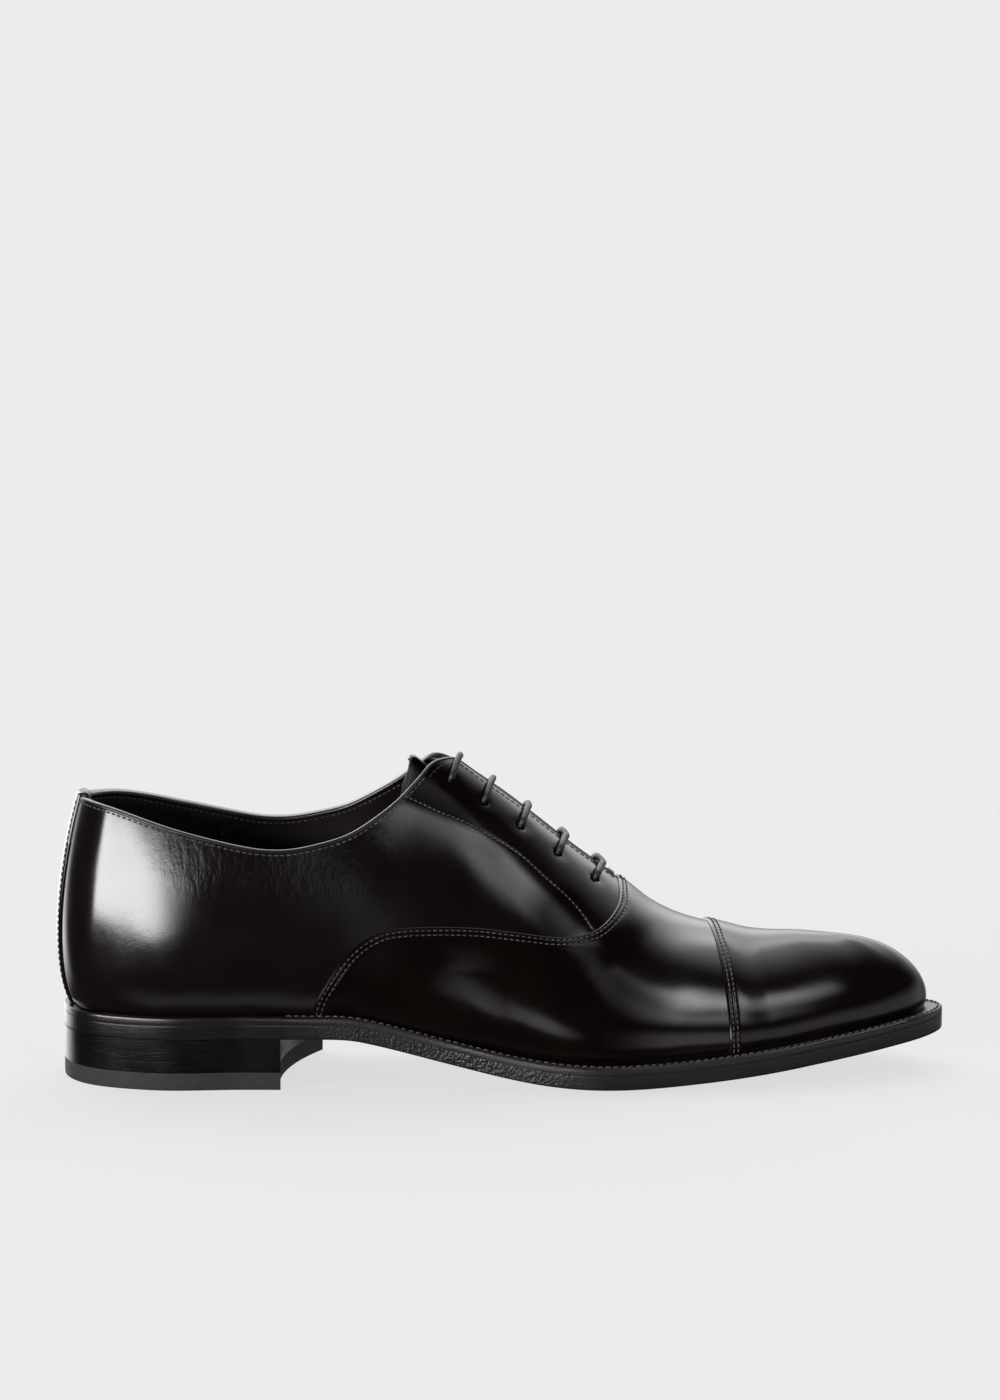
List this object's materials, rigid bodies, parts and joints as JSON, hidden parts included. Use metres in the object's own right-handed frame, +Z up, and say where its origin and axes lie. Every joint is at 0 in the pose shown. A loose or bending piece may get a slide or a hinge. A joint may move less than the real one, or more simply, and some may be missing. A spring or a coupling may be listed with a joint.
{
  "type": "leather oxford shoe",
  "caption": "Right lace-up cap-toe leather shoe with closed facings, straight-bar lace, welted sole and stacked heel.",
  "frame": {"origin": "on the floor, under the middle of the shoe's length and width", "axes": "+X from heel to toe, +Y towards the inner side of the foot, +Z up"},
  "size_m": [0.3013, 0.0955, 0.1077],
  "materials": {
    "upper_leather": "polished black",
    "lining_leather": "dark brown, matt",
    "stiffener": "raw fibre board",
    "sole_leather": "black edge dressing, satin",
    "welt_leather": "dark, satin",
    "rubber": "matt black",
    "insole_leather": "raw tan",
    "sock_leather": "dark brown, matt",
    "cork": "granular cork",
    "steel": "plain",
    "brass": "satin",
    "lace": "waxed black cotton"
  },
  "bodies": {
    "root": {"outsole": "sole_leather", "top_piece": "rubber", "heel_lift_1": "sole_leather", "heel_lift_2": "sole_leather", "heel_lift_3": "sole_leather", "heel_nail_1": "brass", "heel_nail_2": "brass", "heel_nail_3": "brass", "heel_nail_4": "brass", "heel_nail_5": "brass", "welt": "welt_leather", "heel_rand": "welt_leather", "insole_rib": "insole_leather", "cork_filler": "cork", "shank": "steel", "insole": "insole_leather", "sock_lining": "sock_leather", "lateral_quarter": "upper_leather", "lateral_quarter_lining": "lining_leather", "medial_quarter": "upper_leather", "medial_quarter_lining": "lining_leather", "vamp": "upper_leather", "vamp_interlining": "stiffener", "toe_cap": "upper_leather", "toe_puff": "stiffener", "vamp_lining": "lining_leather", "heel_counter": "stiffener", "heel_lining": "lining_leather", "back_strip": "upper_leather", "topline_binding": "upper_leather", "lace": "lace"},
    "tongue": {"tongue": "upper_leather", "tongue_lining": "lining_leather"},
    "lateral_facing": {"lateral_facing": "upper_leather", "lateral_facing_stay": "lining_leather", "lateral_eyelet_1": "brass", "lateral_eyelet_2": "brass", "lateral_eyelet_3": "brass", "lateral_eyelet_4": "brass", "lateral_eyelet_5": "brass"},
    "medial_facing": {"medial_facing": "upper_leather", "medial_facing_stay": "lining_leather", "medial_eyelet_1": "brass", "medial_eyelet_2": "brass", "medial_eyelet_3": "brass", "medial_eyelet_4": "brass", "medial_eyelet_5": "brass"}
  },
  "joints": [
    {"name": "tongue_hinge", "type": "hinge", "parent": "root", "child": "tongue", "pos_m": [0.046, 0.0035, 0.0515], "axis": [0, -1, 0], "range_deg": [0, 12]},
    {"name": "lateral_facing_hinge", "type": "hinge", "parent": "root", "child": "lateral_facing", "pos_m": [-0.002, -0.0206, 0.0733], "axis": [0.7975, -0.1594, -0.5819], "range_deg": [0, 12], "deforming": ["lace"]},
    {"name": "medial_facing_hinge", "type": "hinge", "parent": "root", "child": "medial_facing", "pos_m": [-0.0022, 0.024, 0.0745], "axis": [-0.776, -0.1997, 0.5982], "range_deg": [0, 12], "deforming": ["lace"]}
  ]
}
